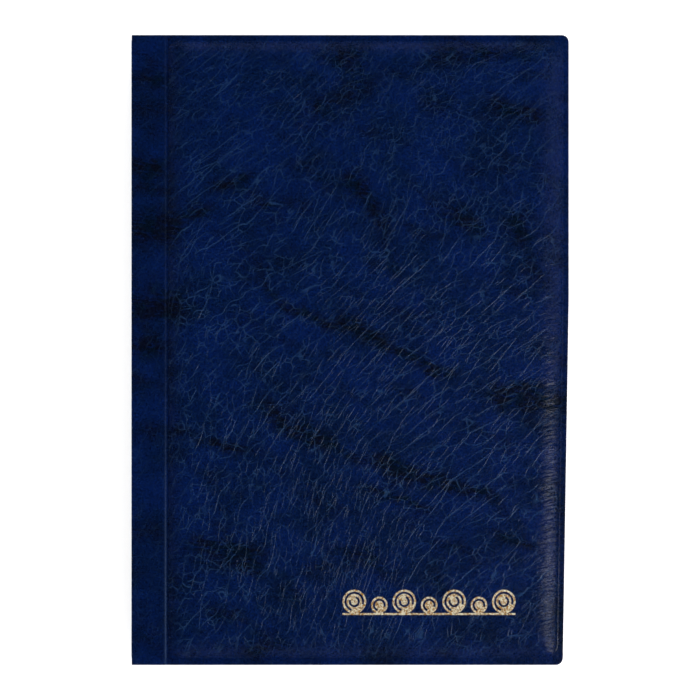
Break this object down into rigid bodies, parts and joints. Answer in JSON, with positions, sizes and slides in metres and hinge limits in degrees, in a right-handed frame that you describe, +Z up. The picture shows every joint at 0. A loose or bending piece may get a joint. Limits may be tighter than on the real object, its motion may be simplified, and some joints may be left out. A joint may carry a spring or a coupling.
{
  "type": "coin album",
  "caption": "Pocket coin album: padded marbled leatherette cover that folds flat open round a stiff spine, with clear pocket pages welded inside.",
  "frame": {"origin": "centre of the closed album's footprint, on the surface it lies on", "axes": "+X from the spine to the fore edge, +Y from the foot to the head of the pages, +Z up through the thickness to the front cover"},
  "size_m": [0.125, 0.18, 0.0151],
  "materials": {
    "leatherette": "satin grained",
    "lining": "matte",
    "board": "matte",
    "foam": "matte",
    "binding": "satin",
    "clear_pvc": "gloss",
    "foil": "satin"
  },
  "bodies": {
    "back_cover": {"back_cover_skin": "leatherette", "back_cover_foam": "foam", "back_cover_board": "board", "back_cover_lining": "lining"},
    "spine": {"spine_skin": "leatherette", "spine_board": "board", "spine_lining": "lining", "binding_strip": "binding"},
    "front_cover": {"front_cover_skin": "leatherette", "front_cover_foam": "foam", "front_cover_board": "board", "front_cover_lining": "lining", "foil_emblem": "foil"},
    "page_1": {"page_1_film": "clear_pvc", "page_1_pockets_row_1": "clear_pvc", "page_1_pockets_row_2": "clear_pvc", "page_1_pockets_row_3": "clear_pvc", "page_1_pockets_row_4": "clear_pvc"},
    "page_2": {"page_2_film": "clear_pvc", "page_2_pockets_row_1": "clear_pvc", "page_2_pockets_row_2": "clear_pvc", "page_2_pockets_row_3": "clear_pvc", "page_2_pockets_row_4": "clear_pvc"},
    "page_3": {"page_3_film": "clear_pvc", "page_3_pockets_row_1": "clear_pvc", "page_3_pockets_row_2": "clear_pvc", "page_3_pockets_row_3": "clear_pvc", "page_3_pockets_row_4": "clear_pvc"},
    "page_4": {"page_4_film": "clear_pvc", "page_4_pockets_row_1": "clear_pvc", "page_4_pockets_row_2": "clear_pvc", "page_4_pockets_row_3": "clear_pvc", "page_4_pockets_row_4": "clear_pvc"},
    "page_5": {"page_5_film": "clear_pvc", "page_5_pockets_row_1": "clear_pvc", "page_5_pockets_row_2": "clear_pvc", "page_5_pockets_row_3": "clear_pvc", "page_5_pockets_row_4": "clear_pvc"},
    "page_6": {"page_6_film": "clear_pvc", "page_6_pockets_row_1": "clear_pvc", "page_6_pockets_row_2": "clear_pvc", "page_6_pockets_row_3": "clear_pvc", "page_6_pockets_row_4": "clear_pvc"},
    "page_7": {"page_7_film": "clear_pvc", "page_7_pockets_row_1": "clear_pvc", "page_7_pockets_row_2": "clear_pvc", "page_7_pockets_row_3": "clear_pvc", "page_7_pockets_row_4": "clear_pvc"},
    "page_8": {"page_8_film": "clear_pvc", "page_8_pockets_row_1": "clear_pvc", "page_8_pockets_row_2": "clear_pvc", "page_8_pockets_row_3": "clear_pvc", "page_8_pockets_row_4": "clear_pvc"}
  },
  "joints": [
    {"name": "back_fold", "type": "hinge", "parent": "back_cover", "child": "spine", "pos_m": [-0.062, 0, 0.0027], "axis": [0, -1, 0], "range_deg": [0, 90]},
    {"name": "front_fold", "type": "hinge", "parent": "spine", "child": "front_cover", "pos_m": [-0.062, 0, 0.0123], "axis": [0, -1, 0], "range_deg": [0, 90]},
    {"name": "page_1_turn", "type": "hinge", "parent": "spine", "child": "page_1", "pos_m": [-0.0601, 0, 0.01131], "axis": [0, -1, 0], "range_deg": [0, 82]},
    {"name": "page_2_turn", "type": "hinge", "parent": "spine", "child": "page_2", "pos_m": [-0.0601, 0, 0.01019], "axis": [0, -1, 0], "range_deg": [0, 74]},
    {"name": "page_3_turn", "type": "hinge", "parent": "spine", "child": "page_3", "pos_m": [-0.0601, 0, 0.00906], "axis": [0, -1, 0], "range_deg": [0, 66]},
    {"name": "page_4_turn", "type": "hinge", "parent": "spine", "child": "page_4", "pos_m": [-0.0601, 0, 0.00794], "axis": [0, -1, 0], "range_deg": [0, 58]},
    {"name": "page_5_turn", "type": "hinge", "parent": "spine", "child": "page_5", "pos_m": [-0.0601, 0, 0.00681], "axis": [0, -1, 0], "range_deg": [-58, 0]},
    {"name": "page_6_turn", "type": "hinge", "parent": "spine", "child": "page_6", "pos_m": [-0.0601, 0, 0.00569], "axis": [0, -1, 0], "range_deg": [-66, 0]},
    {"name": "page_7_turn", "type": "hinge", "parent": "spine", "child": "page_7", "pos_m": [-0.0601, 0, 0.00456], "axis": [0, -1, 0], "range_deg": [-74, 0]},
    {"name": "page_8_turn", "type": "hinge", "parent": "spine", "child": "page_8", "pos_m": [-0.0601, 0, 0.00344], "axis": [0, -1, 0], "range_deg": [-82, 0]}
  ],
  "couplings": [
    {"joint": "page_1_turn", "follows": "front_fold", "ratio": 0.91111},
    {"joint": "page_2_turn", "follows": "front_fold", "ratio": 0.82222},
    {"joint": "page_3_turn", "follows": "front_fold", "ratio": 0.73333},
    {"joint": "page_4_turn", "follows": "front_fold", "ratio": 0.64444},
    {"joint": "page_5_turn", "follows": "back_fold", "ratio": -0.64444},
    {"joint": "page_6_turn", "follows": "back_fold", "ratio": -0.73333},
    {"joint": "page_7_turn", "follows": "back_fold", "ratio": -0.82222},
    {"joint": "page_8_turn", "follows": "back_fold", "ratio": -0.91111}
  ]
}
